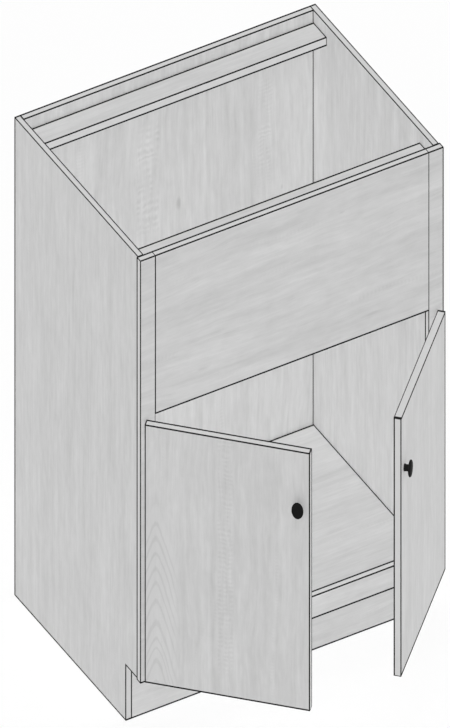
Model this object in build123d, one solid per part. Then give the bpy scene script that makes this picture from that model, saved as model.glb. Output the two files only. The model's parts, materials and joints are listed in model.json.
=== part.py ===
"""Sink base cabinet: an open-topped carcass of boards, a face frame with a fixed false front,
and two slab doors on concealed cup hinges, both standing half open.

Millimetres. The origin is on the floor at the middle of the back, where the wall meets the
floor. X runs to the right, Y towards the wall and Z up, so the front faces -Y.
"""

from build123d import *
from math import hypot
import os

INCH = 25.4

# Overall size, without the doors
CABINET_WIDTH = 33 * INCH
CABINET_DEPTH = 24 * INCH
CABINET_HEIGHT = 34.5 * INCH

# Carcass boards
SIDE_THICKNESS = 0.625 * INCH
BACK_THICKNESS = 0.75 * INCH
FLOOR_THICKNESS = 0.625 * INCH
TOE_BOARD_THICKNESS = 0.625 * INCH
TOE_HEIGHT = 4 * INCH
TOE_SETBACK = 2.25 * INCH  # from the sides' front edges to the toe board
STRETCHER_THICKNESS = 0.625 * INCH
STRETCHER_DEPTH = 2.5 * INCH
STRETCHER_DROP = 0.875 * INCH  # from the cabinet's top to the stretchers' tops

# Face frame and the fixed false front
FRAME_THICKNESS = 0.75 * INCH
FRAME_OVERHANG = 0.125 * INCH  # the frame stands past each side by this
STILE_WIDTH = 1.625 * INCH
RAIL_HEIGHT = 1.625 * INCH
FALSE_FRONT_HEIGHT = 11.4375 * INCH

# Doors
DOOR_THICKNESS = 0.75 * INCH
DOOR_SIDE_REVEAL = 0.3125 * INCH
DOOR_BOTTOM_REVEAL = 0.3125 * INCH
DOOR_TOP_GAP = 0.125 * INCH
DOOR_CENTRE_GAP = 0.125 * INCH
DOOR_STANDOFF = 0.125 * INCH  # between the frame and a closed door's back
DOOR_OPEN_DEGREES = 45.0
EDGE_BAND_THICKNESS = 2.0

# Hinges: a pin across a cup in the door, turning in the eye of an arm on the stile
HINGE_END_DISTANCE = 3.5 * INCH  # from the door's end to the hinge's middle
PIN_EDGE_DISTANCE = 7.5  # from the door's outer edge
PIN_DEPTH = 9.5  # into the door from its back
PIN_RADIUS = 1.25
PIN_GRIP = 3.5  # the pin's length in each wall of the cup
PIN_FIT = 0.02
RUNNING_CLEARANCE = 0.05
CUP_RADIUS = 17.5
CUP_EDGE_DISTANCE = 3.0
CUP_BOTTOM_THICKNESS = 0.8
CUP_CLEARANCE = 0.1
FLANGE_THICKNESS = 1.2
FLANGE_WIDTH = 17.0
FLANGE_LENGTH = 58.0
FLANGE_CORNER_RADIUS = 5.0
CUP_SCREW_SPACING = 45.0
CUP_SCREW_OFFSET = 9.5  # from the cup's centre, away from the door's edge
ARM_WIDTH = 10.0
ARM_THICKNESS = 1.5
ARM_BEND_RADIUS = 2.0
ARM_CLEARANCE = 0.3
EYE_WALL = 0.9
FOOT_LENGTH = 44.0
FOOT_DEPTH = 15.0
FOOT_CORNER_RADIUS = 4.0
ARM_SCREW_SPACING = 30.0

# Countersunk screws of the cups and the arms
SCREW_RADIUS = 1.75
SCREW_HEAD_RADIUS = 3.0
SCREW_LENGTH = 13.0
SCREW_CLEARANCE = 0.03
RECESS_LENGTH = 3.2
RECESS_WIDTH = 0.7
RECESS_DEPTH = 1.0

# Knobs and their machine screws
KNOB_EDGE_DISTANCE = 27.0
KNOB_TOP_DISTANCE = 4 * INCH
KNOB_PROJECTION = 20.0
KNOB_HEAD_RADIUS = 14.8
KNOB_HEAD_THICKNESS = 7.5
KNOB_DOME = 1.2
KNOB_FOOT_RADIUS = 6.6
KNOB_WAIST_RADIUS = 5.9
KNOB_FOOT_HEIGHT = 2.0
KNOB_SCREW_RADIUS = 2.0
KNOB_SCREW_GRIP = 9.0
KNOB_SCREW_HEAD_RADIUS = 4.0
KNOB_SCREW_HEAD_HEIGHT = 2.5
KNOB_HOLE_CLEARANCE = 0.25
KNOB_THREAD_CLEARANCE = 0.02
KNOB_HOLE_RELIEF = 1.0

# Bumpers on the door backs
BUMPER_RADIUS = 5.0
BUMPER_EDGE_DISTANCE = 15.0
BUMPER_RELIEF = 0.4  # left to the frame when the door is shut

# Dowels
DOWEL_RADIUS = 4.0
DOWEL_IN_FACE = 10.0  # in the board that is joined on its face
DOWEL_IN_END = 14.0  # in the board that is joined on its end or edge
DOWEL_CLEARANCE = 0.05
DOWEL_END_GAP = 1.0
FLOOR_DOWELS = 3
BACK_DOWELS = 4
TOE_DOWELS = 2
STRETCHER_DOWELS = 2
LONG_EDGE_DOWELS = 3
STILE_DOWELS = 4
RAIL_DOWELS = 2
FALSE_FRONT_DOWELS = 3

# Places that follow from the sizes
STILE_OUTER = CABINET_WIDTH / 2
STILE_INNER = STILE_OUTER - STILE_WIDTH
SIDE_OUTER = STILE_OUTER - FRAME_OVERHANG
SIDE_INNER = SIDE_OUTER - SIDE_THICKNESS
FRAME_FRONT = -CABINET_DEPTH
FRAME_REAR = FRAME_FRONT + FRAME_THICKNESS
FRAME_MIDDLE = (FRAME_FRONT + FRAME_REAR) / 2
BACK_FRONT = -BACK_THICKNESS
TOE_FRONT = FRAME_REAR + TOE_SETBACK
FLOOR_TOP = TOE_HEIGHT + FLOOR_THICKNESS
RAIL_TOP = TOE_HEIGHT + RAIL_HEIGHT
FALSE_FRONT_BOTTOM = CABINET_HEIGHT - FALSE_FRONT_HEIGHT
STRETCHER_TOP = CABINET_HEIGHT - STRETCHER_DROP
STRETCHER_BOTTOM = STRETCHER_TOP - STRETCHER_THICKNESS
STRETCHER_MIDDLE = (STRETCHER_TOP + STRETCHER_BOTTOM) / 2
FRONT_STRETCHER_REAR = FRAME_REAR + STRETCHER_DEPTH
REAR_STRETCHER_FRONT = BACK_FRONT - STRETCHER_DEPTH

# The left door when it is shut
DOOR_OUTER = DOOR_SIDE_REVEAL - STILE_OUTER
DOOR_INNER = -DOOR_CENTRE_GAP / 2
DOOR_BACK = FRAME_FRONT - DOOR_STANDOFF
DOOR_FRONT = DOOR_BACK - DOOR_THICKNESS
DOOR_BOTTOM = TOE_HEIGHT + DOOR_BOTTOM_REVEAL
DOOR_TOP = FALSE_FRONT_BOTTOM - DOOR_TOP_GAP
HINGE_HEIGHTS = {
    "upper": DOOR_TOP - HINGE_END_DISTANCE,
    "lower": DOOR_BOTTOM + HINGE_END_DISTANCE,
}

# The left hinges, with the door shut
PIN_X = DOOR_OUTER + PIN_EDGE_DISTANCE
PIN_Y = DOOR_BACK - PIN_DEPTH
EYE_RADIUS = PIN_RADIUS + RUNNING_CLEARANCE + EYE_WALL
CUP_X = DOOR_OUTER + CUP_EDGE_DISTANCE + CUP_RADIUS
FLANGE_BACK = DOOR_BACK + FLANGE_THICKNESS
FOOT_FACE = ARM_THICKNESS - STILE_INNER  # the arm's face towards the opening
ARM_FRONT = PIN_Y - EYE_RADIUS
SLOT_FRONT = ARM_FRONT - ARM_CLEARANCE
SLOT_OUTER = PIN_X - EYE_RADIUS - ARM_CLEARANCE
SLOT_INNER = PIN_X + hypot(FOOT_FACE - PIN_X, EYE_RADIUS) + ARM_CLEARANCE
SLOT_HALF_WIDTH = ARM_WIDTH / 2 + ARM_CLEARANCE
CUP_FRONT = SLOT_FRONT - CUP_BOTTOM_THICKNESS
KNOB_X = DOOR_INNER - KNOB_EDGE_DISTANCE
KNOB_Z = DOOR_TOP - KNOB_TOP_DISTANCE


def board(x, y, z):
    """A straight board between a low and a high value on each axis."""
    sizes = (x[1] - x[0], y[1] - y[0], z[1] - z[0])
    return Pos(x[0], y[0], z[0]) * Box(*sizes, align=(Align.MIN,) * 3)


def rod(start, end, radius):
    """A round rod from one point to another."""
    run = Vector(*end) - Vector(*start)
    shape = Cylinder(radius, run.length, align=(Align.CENTER, Align.CENTER, Align.MIN))
    return Plane(origin=start, z_dir=run) * shape


def spread(low, high, count):
    """The middles of equal parts of a length."""
    step = (high - low) / count
    return [low + (number + 0.5) * step for number in range(count)]


def group(shapes):
    """Separate solids as one node."""
    return Compound([solid for shape in shapes for solid in shape.solids()])


def mirrored(shape):
    """The right-hand twin of a left-hand piece."""
    return mirror(shape, about=Plane.YZ)


# Dowels. A joint is a point where two boards meet, with the way into the one joined on its face.


def both_sides(places):
    """Joints on the inner faces of both sides, at these (y, z) places."""
    return [((hand * SIDE_INNER, y, z), (hand, 0, 0)) for hand in (-1, 1) for y, z in places]


def floor_to_sides():
    z = TOE_HEIGHT + FLOOR_THICKNESS / 2
    return both_sides([(y, z) for y in spread(FRAME_REAR, BACK_FRONT, FLOOR_DOWELS)])


def back_to_sides():
    y = BACK_FRONT / 2
    return both_sides([(y, z) for z in spread(0, CABINET_HEIGHT, BACK_DOWELS)])


def toe_board_to_sides():
    y = TOE_FRONT + TOE_BOARD_THICKNESS / 2
    return both_sides([(y, z) for z in spread(0, TOE_HEIGHT, TOE_DOWELS)])


def stretcher_to_sides(front, rear):
    return both_sides([(y, STRETCHER_MIDDLE) for y in spread(front, rear, STRETCHER_DOWELS)])


def front_stretcher_to_sides():
    return stretcher_to_sides(FRAME_REAR, FRONT_STRETCHER_REAR)


def rear_stretcher_to_sides():
    return stretcher_to_sides(REAR_STRETCHER_FRONT, BACK_FRONT)


def along_the_width(y, z, way):
    """Joints spread between the sides, on a face that looks along Y."""
    return [((x, y, z), (0, way, 0)) for x in spread(-SIDE_INNER, SIDE_INNER, LONG_EDGE_DOWELS)]


def floor_to_back():
    return along_the_width(BACK_FRONT, TOE_HEIGHT + FLOOR_THICKNESS / 2, 1)


def rear_stretcher_to_back():
    return along_the_width(BACK_FRONT, STRETCHER_MIDDLE, 1)


def floor_to_rail():
    return along_the_width(FRAME_REAR, TOE_HEIGHT + FLOOR_THICKNESS / 2, -1)


def front_stretcher_to_false_front():
    return along_the_width(FRAME_REAR, STRETCHER_MIDDLE, -1)


def sides_to_stiles():
    x = (SIDE_OUTER + SIDE_INNER) / 2
    heights = spread(TOE_HEIGHT, CABINET_HEIGHT, STILE_DOWELS)
    return [((hand * x, FRAME_REAR, z), (0, -1, 0)) for hand in (-1, 1) for z in heights]


def frame_to_stiles(low, high, count):
    """Joints on the inner edges of both stiles."""
    heights = spread(low, high, count)
    return [
        ((hand * STILE_INNER, FRAME_MIDDLE, z), (hand, 0, 0)) for hand in (-1, 1) for z in heights
    ]


def rail_to_stiles():
    return frame_to_stiles(TOE_HEIGHT, RAIL_TOP, RAIL_DOWELS)


def false_front_to_stiles():
    return frame_to_stiles(FALSE_FRONT_BOTTOM, CABINET_HEIGHT, FALSE_FRONT_DOWELS)


CARCASS_JOINTS = (
    floor_to_sides()
    + back_to_sides()
    + toe_board_to_sides()
    + front_stretcher_to_sides()
    + rear_stretcher_to_sides()
    + floor_to_back()
    + rear_stretcher_to_back()
)
FRAME_JOINTS = (
    sides_to_stiles()
    + rail_to_stiles()
    + false_front_to_stiles()
    + floor_to_rail()
    + front_stretcher_to_false_front()
)


def dowel(joint, grow=0.0, lengthen=0.0):
    point, way = Vector(*joint[0]), Vector(*joint[1])
    start = point - way * (DOWEL_IN_END + lengthen)
    end = point + way * (DOWEL_IN_FACE + lengthen)
    return rod(start, end, DOWEL_RADIUS + grow)


def dowels(joints):
    return group([dowel(joint) for joint in joints])


def drilled(shape, joints):
    """A board with the blind dowel holes of these joints that fall in its own box."""
    box = shape.bounding_box()
    reach = DOWEL_RADIUS + DOWEL_CLEARANCE
    holes = []
    for joint in joints:
        point = Vector(*joint[0])
        inside = (
            box.min.X - reach <= point.X <= box.max.X + reach
            and box.min.Y - reach <= point.Y <= box.max.Y + reach
            and box.min.Z - reach <= point.Z <= box.max.Z + reach
        )
        if inside:
            holes.append(dowel(joint, DOWEL_CLEARANCE, DOWEL_END_GAP))
    return shape - holes


ALL_JOINTS = CARCASS_JOINTS + FRAME_JOINTS


# Carcass


def left_side_panel():
    outline = (-SIDE_OUTER, -SIDE_INNER)
    panel = board(outline, (FRAME_REAR, 0), (0, CABINET_HEIGHT))
    notch = board(outline, (FRAME_REAR, TOE_FRONT), (0, TOE_HEIGHT))
    return drilled(panel - notch, ALL_JOINTS)


def back_panel():
    panel = board((-SIDE_INNER, SIDE_INNER), (BACK_FRONT, 0), (0, CABINET_HEIGHT))
    return drilled(panel, CARCASS_JOINTS)


def floor_panel():
    panel = board((-SIDE_INNER, SIDE_INNER), (FRAME_REAR, BACK_FRONT), (TOE_HEIGHT, FLOOR_TOP))
    return drilled(panel, floor_to_sides() + floor_to_back() + floor_to_rail())


def toe_kick_board():
    depth = (TOE_FRONT, TOE_FRONT + TOE_BOARD_THICKNESS)
    return drilled(board((-SIDE_INNER, SIDE_INNER), depth, (0, TOE_HEIGHT)), toe_board_to_sides())


def stretcher(front, rear, joints):
    shape = board((-SIDE_INNER, SIDE_INNER), (front, rear), (STRETCHER_BOTTOM, STRETCHER_TOP))
    return drilled(shape, joints)


def front_stretcher():
    joints = front_stretcher_to_sides() + front_stretcher_to_false_front()
    return stretcher(FRAME_REAR, FRONT_STRETCHER_REAR, joints)


def rear_stretcher():
    joints = rear_stretcher_to_sides() + rear_stretcher_to_back()
    return stretcher(REAR_STRETCHER_FRONT, BACK_FRONT, joints)


# Face frame


def left_stile():
    width = (-STILE_OUTER, -STILE_INNER)
    shape = board(width, (FRAME_FRONT, FRAME_REAR), (TOE_HEIGHT, CABINET_HEIGHT))
    joints = sides_to_stiles() + rail_to_stiles() + false_front_to_stiles()
    pilots = [screw(place, SCREW_CLEARANCE) for place in arm_screw_places()]
    return drilled(shape, joints) - pilots


def bottom_rail():
    shape = board(
        (-STILE_INNER, STILE_INNER), (FRAME_FRONT, FRAME_REAR), (TOE_HEIGHT, RAIL_TOP)
    )
    return drilled(shape, rail_to_stiles() + floor_to_rail())


def false_front_panel():
    shape = board(
        (-STILE_INNER, STILE_INNER),
        (FRAME_FRONT, FRAME_REAR),
        (FALSE_FRONT_BOTTOM, CABINET_HEIGHT),
    )
    return drilled(shape, false_front_to_stiles() + front_stretcher_to_false_front())


# Screws. A place is a plane on the head's top, with its Z axis out of the wood.


def screw(place, grow=0.0):
    """A countersunk screw, or with grow its pilot hole."""
    low = (Align.CENTER, Align.CENTER, Align.MIN)
    cone_height = SCREW_HEAD_RADIUS - SCREW_RADIUS
    head = Pos(0, 0, -cone_height) * Cone(
        SCREW_RADIUS + grow, SCREW_HEAD_RADIUS + grow, cone_height, align=low
    )
    shank_length = SCREW_LENGTH + grow
    shank = Pos(0, 0, -shank_length) * Cylinder(SCREW_RADIUS + grow, shank_length, align=low)
    return place * (head + shank)


def recessed_screw(place):
    """A countersunk screw with the cross recess in its head."""
    top = (Align.CENTER, Align.CENTER, Align.MAX)
    bars = [
        Box(RECESS_LENGTH, RECESS_WIDTH, RECESS_DEPTH, align=top),
        Box(RECESS_WIDTH, RECESS_LENGTH, RECESS_DEPTH, align=top),
    ]
    return screw(place) - [place * bar for bar in bars]


def cup_screw_places():
    return [
        Plane(
            origin=(CUP_X + CUP_SCREW_OFFSET, FLANGE_BACK, height + end * CUP_SCREW_SPACING / 2),
            z_dir=(0, 1, 0),
        )
        for height in HINGE_HEIGHTS.values()
        for end in (-1, 1)
    ]


def arm_screw_places():
    return [
        Plane(
            origin=(FOOT_FACE, FRAME_MIDDLE, height + end * ARM_SCREW_SPACING / 2),
            z_dir=(1, 0, 0),
        )
        for height in HINGE_HEIGHTS.values()
        for end in (-1, 1)
    ]


# Hinges of the left door


def hinge_pin(height, grow=0.0):
    """The pin that lies upright across the cup's slot."""
    reach = SLOT_HALF_WIDTH + PIN_GRIP + grow
    return rod((PIN_X, PIN_Y, height - reach), (PIN_X, PIN_Y, height + reach), PIN_RADIUS + grow)


def hinge_cup(height):
    disc = rod((CUP_X, FLANGE_BACK, height), (CUP_X, CUP_FRONT, height), CUP_RADIUS)
    flange = board(
        (CUP_X, CUP_X + FLANGE_WIDTH),
        (DOOR_BACK, FLANGE_BACK),
        (height - FLANGE_LENGTH / 2, height + FLANGE_LENGTH / 2),
    )
    flange = fillet(flange.edges().filter_by(Axis.Y), FLANGE_CORNER_RADIUS)
    slot = board(
        (SLOT_OUTER, SLOT_INNER),
        (SLOT_FRONT, FLANGE_BACK),
        (height - SLOT_HALF_WIDTH, height + SLOT_HALF_WIDTH),
    )
    holes = [screw(place, SCREW_CLEARANCE) for place in cup_screw_places()]
    return disc + flange - slot - hinge_pin(height, PIN_FIT) - holes


def hinge_arm(height):
    """A bent steel strip: an eye round the pin, a run in the cup, and a foot on the stile's edge."""
    across = (height - ARM_WIDTH / 2, height + ARM_WIDTH / 2)
    eye = rod((PIN_X, PIN_Y, across[0]), (PIN_X, PIN_Y, across[1]), EYE_RADIUS)
    run = board((PIN_X, FOOT_FACE), (ARM_FRONT, ARM_FRONT + ARM_THICKNESS), across)
    neck = board((FOOT_FACE - ARM_THICKNESS, FOOT_FACE), (ARM_FRONT, FRAME_MIDDLE), across)
    strip = run + neck
    upright = strip.edges().filter_by(Axis.Z)
    bend = upright.sort_by_distance((FOOT_FACE, ARM_FRONT, height))[0]
    strip = fillet(bend, ARM_BEND_RADIUS)
    foot = board(
        (-STILE_INNER, FOOT_FACE),
        (FRAME_MIDDLE - FOOT_DEPTH / 2, FRAME_MIDDLE + FOOT_DEPTH / 2),
        (height - FOOT_LENGTH / 2, height + FOOT_LENGTH / 2),
    )
    foot = fillet(foot.edges().filter_by(Axis.X), FOOT_CORNER_RADIUS)
    bore = hinge_pin(height, RUNNING_CLEARANCE)
    holes = [screw(place, SCREW_CLEARANCE) for place in arm_screw_places()]
    return eye + strip + foot - bore - holes


# Left door, shut


def door_panel():
    """The door's core, inside its edge bands, bored for the hinge cups and the knob."""
    band = EDGE_BAND_THICKNESS
    core = board(
        (DOOR_OUTER + band, DOOR_INNER - band),
        (DOOR_FRONT, DOOR_BACK),
        (DOOR_BOTTOM + band, DOOR_TOP - band),
    )
    pockets = [
        rod(
            (CUP_X, DOOR_BACK, height),
            (CUP_X, CUP_FRONT - CUP_CLEARANCE, height),
            CUP_RADIUS + CUP_CLEARANCE,
        )
        for height in HINGE_HEIGHTS.values()
    ]
    pilots = [screw(place, SCREW_CLEARANCE) for place in cup_screw_places()]
    knob_hole = rod(
        (KNOB_X, DOOR_BACK, KNOB_Z),
        (KNOB_X, DOOR_FRONT, KNOB_Z),
        KNOB_SCREW_RADIUS + KNOB_HOLE_CLEARANCE,
    )
    return core - pockets - pilots - knob_hole


def door_edge_bands():
    """Two long strips down the door's edges and two short ones between them."""
    band = EDGE_BAND_THICKNESS
    depth = (DOOR_FRONT, DOOR_BACK)
    height = (DOOR_BOTTOM, DOOR_TOP)
    between = (DOOR_OUTER + band, DOOR_INNER - band)
    return group(
        [
            board((DOOR_OUTER, DOOR_OUTER + band), depth, height),
            board((DOOR_INNER - band, DOOR_INNER), depth, height),
            board(between, depth, (DOOR_BOTTOM, DOOR_BOTTOM + band)),
            board(between, depth, (DOOR_TOP - band, DOOR_TOP)),
        ]
    )


def knob():
    """A turned knob: a foot, a waist and a flat round head with a low dome."""
    head_back = KNOB_PROJECTION - KNOB_HEAD_THICKNESS
    rim_front = KNOB_PROJECTION - KNOB_DOME
    rim_middle = (head_back + rim_front) / 2
    rim_round = (rim_front - head_back) / 2
    rim_inner = KNOB_HEAD_RADIUS - rim_round
    flare = (KNOB_FOOT_RADIUS + KNOB_WAIST_RADIUS) / 2
    with BuildSketch(Plane.XZ) as section:
        with BuildLine():
            Line((0, 0), (KNOB_FOOT_RADIUS, 0))
            Line((KNOB_FOOT_RADIUS, 0), (KNOB_FOOT_RADIUS, KNOB_FOOT_HEIGHT))
            ThreePointArc(
                (KNOB_FOOT_RADIUS, KNOB_FOOT_HEIGHT),
                (KNOB_WAIST_RADIUS, (KNOB_FOOT_HEIGHT + head_back) / 2),
                (flare, head_back),
            )
            Line((flare, head_back), (rim_inner, head_back))
            ThreePointArc(
                (rim_inner, head_back), (KNOB_HEAD_RADIUS, rim_middle), (rim_inner, rim_front)
            )
            TangentArc((0, KNOB_PROJECTION), (rim_inner, rim_front), tangent=(1, 0))
            Line((0, KNOB_PROJECTION), (0, 0))
        make_face()
    turned = revolve(section.sketch, Axis.Z)
    bore = Cylinder(
        KNOB_SCREW_RADIUS + KNOB_THREAD_CLEARANCE,
        KNOB_SCREW_GRIP + KNOB_HOLE_RELIEF,
        align=(Align.CENTER, Align.CENTER, Align.MIN),
    )
    return Plane(origin=(KNOB_X, DOOR_FRONT, KNOB_Z), z_dir=(0, -1, 0)) * (turned - bore)


def knob_screw():
    head_back = DOOR_BACK + KNOB_SCREW_HEAD_HEIGHT
    head = rod((KNOB_X, DOOR_BACK, KNOB_Z), (KNOB_X, head_back, KNOB_Z), KNOB_SCREW_HEAD_RADIUS)
    rim = head.faces().sort_by(Axis.Y)[-1].edges()
    head = fillet(rim, KNOB_SCREW_HEAD_HEIGHT * 0.4)
    tip = DOOR_FRONT - KNOB_SCREW_GRIP
    shank = rod((KNOB_X, DOOR_BACK, KNOB_Z), (KNOB_X, tip, KNOB_Z), KNOB_SCREW_RADIUS)
    place = Plane(origin=(KNOB_X, head_back, KNOB_Z), z_dir=(0, 1, 0))
    top = (Align.CENTER, Align.CENTER, Align.MAX)
    recess = [
        place * Box(RECESS_LENGTH, RECESS_WIDTH, RECESS_DEPTH, align=top),
        place * Box(RECESS_WIDTH, RECESS_LENGTH, RECESS_DEPTH, align=top),
    ]
    return head + shank - recess


def door_bumpers():
    """One pad against the stile at the top, and one against the rail below the free edge."""
    thickness = DOOR_STANDOFF - BUMPER_RELIEF
    places = [
        (DOOR_OUTER + BUMPER_EDGE_DISTANCE, DOOR_TOP - BUMPER_EDGE_DISTANCE),
        (DOOR_INNER - BUMPER_EDGE_DISTANCE, DOOR_BOTTOM + BUMPER_EDGE_DISTANCE),
    ]
    return group(
        [rod((x, DOOR_BACK, z), (x, DOOR_BACK + thickness, z), BUMPER_RADIUS) for x, z in places]
    )


def opened(shape):
    """A piece of the left door, turned on the pins to where the door stands."""
    return shape.rotate(Axis((PIN_X, PIN_Y, 0), (0, 0, 1)), -DOOR_OPEN_DEGREES)


def left_door_pieces():
    """Every piece that swings with the left door, shut, by name without its hand."""
    pieces = {
        "door_panel": door_panel(),
        "door_edge_bands": door_edge_bands(),
        "knob": knob(),
        "knob_screw": knob_screw(),
        "door_bumpers": door_bumpers(),
        "hinge_cup_screws": group([recessed_screw(place) for place in cup_screw_places()]),
    }
    for level, height in HINGE_HEIGHTS.items():
        pieces[f"{level}_hinge_cup"] = hinge_cup(height)
        pieces[f"{level}_hinge_pin"] = hinge_pin(height)
    return pieces


def all_pieces():
    """Every piece by its node name, with both doors standing open."""
    pieces = {
        "back_panel": back_panel(),
        "floor_panel": floor_panel(),
        "toe_kick_board": toe_kick_board(),
        "front_stretcher": front_stretcher(),
        "rear_stretcher": rear_stretcher(),
        "bottom_rail": bottom_rail(),
        "false_front_panel": false_front_panel(),
        "carcass_dowels": dowels(CARCASS_JOINTS),
        "frame_dowels": dowels(FRAME_JOINTS),
    }
    left = {
        "side_panel": left_side_panel(),
        "stile": left_stile(),
        "hinge_arm_screws": group([recessed_screw(place) for place in arm_screw_places()]),
    }
    for level, height in HINGE_HEIGHTS.items():
        left[f"{level}_hinge_arm"] = hinge_arm(height)
    for name, shape in left_door_pieces().items():
        left[name] = opened(shape)
    for name, shape in left.items():
        pieces[f"left_{name}"] = shape
        pieces[f"right_{name}"] = mirrored(shape)
    return pieces


def write_parts():
    os.makedirs("parts", exist_ok=True)
    for name, shape in all_pieces().items():
        export_step(shape, f"parts/{name}.step")


write_parts()
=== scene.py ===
"""Looks of the sink base cabinet: wood-grain laminate boards with a dark core line at every arris,
edge-banded doors, turned black knobs and plated hinges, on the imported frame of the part.

Metres, in the frame's own axes: X to the right, Y towards the wall, Z up.
"""

import json
import math

import bmesh
import bpy
from bpy.props import FloatProperty, FloatVectorProperty, PointerProperty
from mathutils import Matrix, Vector


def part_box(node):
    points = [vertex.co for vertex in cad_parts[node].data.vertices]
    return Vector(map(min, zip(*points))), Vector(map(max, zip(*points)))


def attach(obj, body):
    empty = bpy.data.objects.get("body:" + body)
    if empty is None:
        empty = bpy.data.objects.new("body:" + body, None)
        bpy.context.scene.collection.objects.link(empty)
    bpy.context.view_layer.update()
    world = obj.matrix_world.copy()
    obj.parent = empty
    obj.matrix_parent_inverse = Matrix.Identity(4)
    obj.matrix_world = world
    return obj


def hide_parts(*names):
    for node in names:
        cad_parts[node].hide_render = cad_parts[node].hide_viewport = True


bl_info = {
    "name": "Sink base cabinet",
    "version": (1, 0, 0),
    "blender": (4, 5, 0),
    "location": "View3D > Sidebar > Cabinet",
    "description": "Dresses the sink base cabinet in laminate, edge bands and fittings",
    "category": "Object",
}

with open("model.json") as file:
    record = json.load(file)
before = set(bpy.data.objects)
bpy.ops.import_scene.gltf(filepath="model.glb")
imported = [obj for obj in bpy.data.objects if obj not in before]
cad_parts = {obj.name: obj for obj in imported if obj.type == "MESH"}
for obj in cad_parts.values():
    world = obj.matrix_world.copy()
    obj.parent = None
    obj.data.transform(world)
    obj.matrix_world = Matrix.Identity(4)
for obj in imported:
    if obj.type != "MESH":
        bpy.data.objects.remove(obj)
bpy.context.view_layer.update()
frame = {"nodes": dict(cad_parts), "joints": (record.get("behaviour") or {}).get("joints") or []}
NODES = frame["nodes"]
JOINTS = {joint["child"]: joint for joint in frame["joints"]}
HANDS = ("left", "right")
DOORS = ("left_door", "right_door")

WHITE = (1, 1, 1, 1)
FULL_TURN = 2 * math.pi

# Places of the edge's and the core's finish in a board's list, after its face's, and of the band's
# and the core's in a band's list
EDGE, CORE = 1, 2
BAND, BAND_CORE = 0, 1
FIRST_LINE = 0.001  # every core line's width before its own is set
FACING = 0.5  # least part of a normal along an axis for a face that looks that way
SHARP = math.radians(30)  # least angle of an arris that is eased
EASE_STEPS = 2

# Which border each core line is on: the axis that its face looks along, the axis across the line,
# and 1 for the low end of that axis or -1 for the high end
LINES = {
    "level_front_line": (2, 1, 1),
    "level_rear_line": (2, 1, -1),
    "level_left_line": (2, 0, 1),
    "level_right_line": (2, 0, -1),
    "face_left_line": (1, 0, 1),
    "face_right_line": (1, 0, -1),
    "face_foot_line": (1, 2, 1),
    "face_head_line": (1, 2, -1),
    "side_front_line": (0, 1, 1),
    "side_rear_line": (0, 1, -1),
    "side_foot_line": (0, 2, 1),
    "side_head_line": (0, 2, -1),
}

# Grain. Each layer of marks: how many to the metre across and along the grain, detail, roughness,
# and share in the tone.
LAYERS = {
    "streaks": (190, 15, 5.0, 0.64, 0.24),
    "bands": (58, 6.5, 3.0, 0.6, 0.26),
    "stripes": (24, 1.3, 2.0, 0.5, 0.14),
    "clouds": (14, 8, 2.0, 0.5, 0.14),
    "mottle": (80, 40, 2.0, 0.5, 0.14),
}
LENGTHWISE_STRETCH = 0.6  # grain along X is drawn out by this factor
SWAY = 0.045  # how far the grain wanders, in metres
WAVER = 0.008  # how far it trembles, in metres
PORE_DEPTH = 0.06
RUNG_PITCH = 0.0063  # of the faint cross figure that is all over
RUNG_DEPTH = 0.025
LADDER_FADE = 0.05  # length of a ladder's fading end
ARCH_PITCH = 0.029
ARCH_CROWN = 0.011  # radius of an arch's round top
ARCH_STEEPNESS = 2.5
ARCH_DEPTH = 0.095

# The grain's own figure, by board, and for the right door a painted shade. Arches: middle, top,
# half width. Ladders: middle, half width, foot, top, pitch, depth. Seams: middle, half width,
# depth. Knots: middle, height, half width, half height, depth.
UPRIGHT_FIGURE = {
    "ladders": [
        (-0.058, 0.031, 0.56, 0.8, 0.0125, 0.07),
        (0.268, 0.02, 0.6, 0.8, 0.008, 0.05),
    ],
    "seams": [(-0.003, 0.013, -0.02), (0.098, 0.007, -0.025)],
    "knots": [(0.027, 0.6155, 0.007, 0.0125, 0.22), (0.3128, 0.5747, 0.003, 0.005, 0.14)],
}
LENGTHWISE_FIGURE = {
    "knots": [
        (0.221, 0.621, 0.026, 0.003, 0.08),
        (-0.243, 0.637, 0.02, 0.0028, 0.1),
        (0.138, 0.827, 0.009, 0.002, 0.12),
    ],
}
DOOR_FIGURES = {
    "left_door": {
        "arches": [(0.029, 0.325, 0.06)],
        "ladders": [(0.2, 0.019, 0.02, 0.66, 0.0085, 0.045)],
        "seams": [(0.171, 0.007, 0.045), (0.159, 0.004, -0.035)],
    },
    # Painted shade: the right door's laminate is made darker, since it catches more light where it
    # stands open
    "right_door": {"shade": 0.94},
}

# Metals: tint, roughness, marks to the metre along each axis
NICKEL = ((0.44, 0.435, 0.42), 0.32, (900, 900, 60))
DRAWN_STEEL = ((0.36, 0.36, 0.375), 0.25, (700, 700, 30))
ZINC = ((0.4, 0.4, 0.415), 0.35, (900, 900, 900))

# A knob's foot, and the rest of its profile: radius and distance from the door, as shares of the
# head's radius and of the knob's whole reach
KNOB_SIDES = 96
KNOB_FOOT = 0.446
KNOB_PROFILE = (
    (0.43, 0.0),
    (0.446, 0.015),
    (0.446, 0.1),
    (0.42, 0.18),
    (0.403, 0.27),
    (0.3986, 0.3625),
    (0.401, 0.45),
    (0.409, 0.54),
    (0.422, 0.624),
    (0.787, 0.625),
    (0.868, 0.637),
    (0.938, 0.671),
    (0.984, 0.722),
    (1.0, 0.7825),
    (0.984, 0.843),
    (0.938, 0.894),
    (0.868, 0.928),
    (0.787, 0.94),
    (0.6, 0.965),
    (0.4, 0.985),
    (0.2, 0.996),
)

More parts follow.
